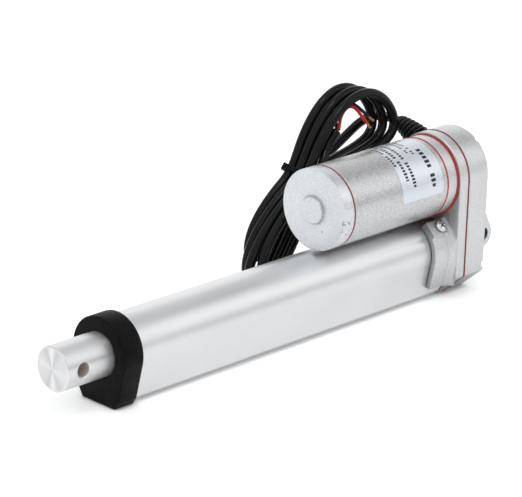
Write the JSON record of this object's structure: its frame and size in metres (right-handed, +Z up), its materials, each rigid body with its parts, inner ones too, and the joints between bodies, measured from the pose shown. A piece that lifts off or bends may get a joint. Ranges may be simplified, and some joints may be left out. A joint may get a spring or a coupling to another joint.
{
  "type": "linear actuator",
  "caption": "Electric linear actuator: a motor beside a tube drives a rod out through spur gears and a lead screw; cross holes at both ends take the pins.",
  "frame": {"origin": "centre of the rod's end face, with the rod retracted", "axes": "+X out along the rod, +Z up from the tube to the motor, +Y to the side away from the coiled cable; the tube's flat underside is level with X and Y"},
  "size_m": [0.2703, 0.0686, 0.0966],
  "materials": {
    "rod_metal": "satin turned",
    "tube_metal": "satin anodised",
    "silver_paint": "silver with a fine metallic grain",
    "steel": "ground",
    "bright_steel": "bright plated",
    "dark_steel": "phosphated",
    "bronze": "sintered",
    "copper": "enamelled winding",
    "black_plastic": "moulded, slightly mottled",
    "nylon": "natural",
    "board": "green laminate",
    "ferrite": "sintered",
    "brown_card": "resin board",
    "red_gasket": "red sheet",
    "black_rubber": "satin",
    "cable_black": "smooth sheath",
    "wire_red": "smooth insulation",
    "label_foil": "printed foil",
    "ribbon": "flat cable"
  },
  "bodies": {
    "housing": {"adapter_gasket": "red_gasket", "bearing_circlip": "dark_steel", "bearing_outer_ring": "steel", "black_wire": "cable_black", "brush_card": "brown_card", "brush_left": "ferrite", "brush_right": "ferrite", "cable_boot": "black_rubber", "cable_tie": "black_plastic", "cover_screw_1": "bright_steel", "cover_screw_2": "bright_steel", "cover_screw_3": "bright_steel", "cover_screw_4": "bright_steel", "front_cap": "black_plastic", "gearbox_front_housing": "silver_paint", "gearbox_gasket": "red_gasket", "gearbox_rear_cover": "silver_paint", "idler_axle": "steel", "limit_switch_front": "black_plastic", "limit_switch_rear": "black_plastic", "limit_switch_ribbon": "ribbon", "limit_switch_strip": "board", "motor_adapter": "silver_paint", "motor_bush_front": "bronze", "motor_bush_rear": "bronze", "motor_can": "silver_paint", "motor_end_cap": "silver_paint", "motor_end_gasket": "red_gasket", "motor_lead_black": "cable_black", "motor_lead_red": "wire_red", "motor_magnet_left": "ferrite", "motor_magnet_right": "ferrite", "motor_rear_gasket": "red_gasket", "outer_tube": "tube_metal", "power_cable": "cable_black", "rating_label": "label_foil", "red_wire": "wire_red", "rod_guide_bush": "bronze", "rod_wiper_seal": "black_rubber", "tube_screw_left": "bright_steel", "tube_screw_right": "bright_steel"},
    "rod_assembly": {"rod": "rod_metal", "drive_nut": "nylon", "rod_set_screw": "dark_steel"},
    "screw_assembly": {"lead_screw": "steel", "output_gear": "steel", "bearing_inner_ring": "steel", "screw_end_stop": "nylon", "gear_retaining_clip": "dark_steel"},
    "ball_cage": {"bearing_ball_cage": "steel"},
    "idler": {"idler_wheel": "nylon", "idler_pinion": "steel"},
    "rotor": {"motor_shaft": "steel", "motor_pinion": "bronze", "armature_core": "steel", "armature_winding_front": "copper", "armature_winding_rear": "copper", "commutator": "copper"}
  },
  "joints": [
    {"name": "motor_spin", "type": "hinge", "parent": "housing", "child": "rotor", "pos_m": [-0.2, 0, 0.0348], "axis": [-1, 0, 0], "range_deg": [0, 118575]},
    {"name": "idler_spin", "type": "hinge", "parent": "housing", "child": "idler", "pos_m": [-0.242, 0, 0.0172], "axis": [-1, 0, 0], "range_deg": [-34892, 0]},
    {"name": "screw_spin", "type": "hinge", "parent": "housing", "child": "screw_assembly", "pos_m": [-0.23, 0, 0], "axis": [-1, 0, 0], "range_deg": [0, 13506.8]},
    {"name": "cage_spin", "type": "hinge", "parent": "housing", "child": "ball_cage", "pos_m": [-0.229, 0, 0], "axis": [-1, 0, 0], "range_deg": [0, 5456.7]},
    {"name": "rod_slide", "type": "slide", "parent": "housing", "child": "rod_assembly", "axis": [1, 0, 0], "range_m": [0, 0.15007]}
  ],
  "couplings": [
    {"joint": "idler_spin", "follows": "motor_spin", "ratio": -0.29412},
    {"joint": "screw_spin", "follows": "motor_spin", "ratio": 0.11385},
    {"joint": "cage_spin", "follows": "motor_spin", "ratio": 0.045996},
    {"joint": "rod_slide", "follows": "motor_spin", "m_per_rad": 0.00007248}
  ]
}
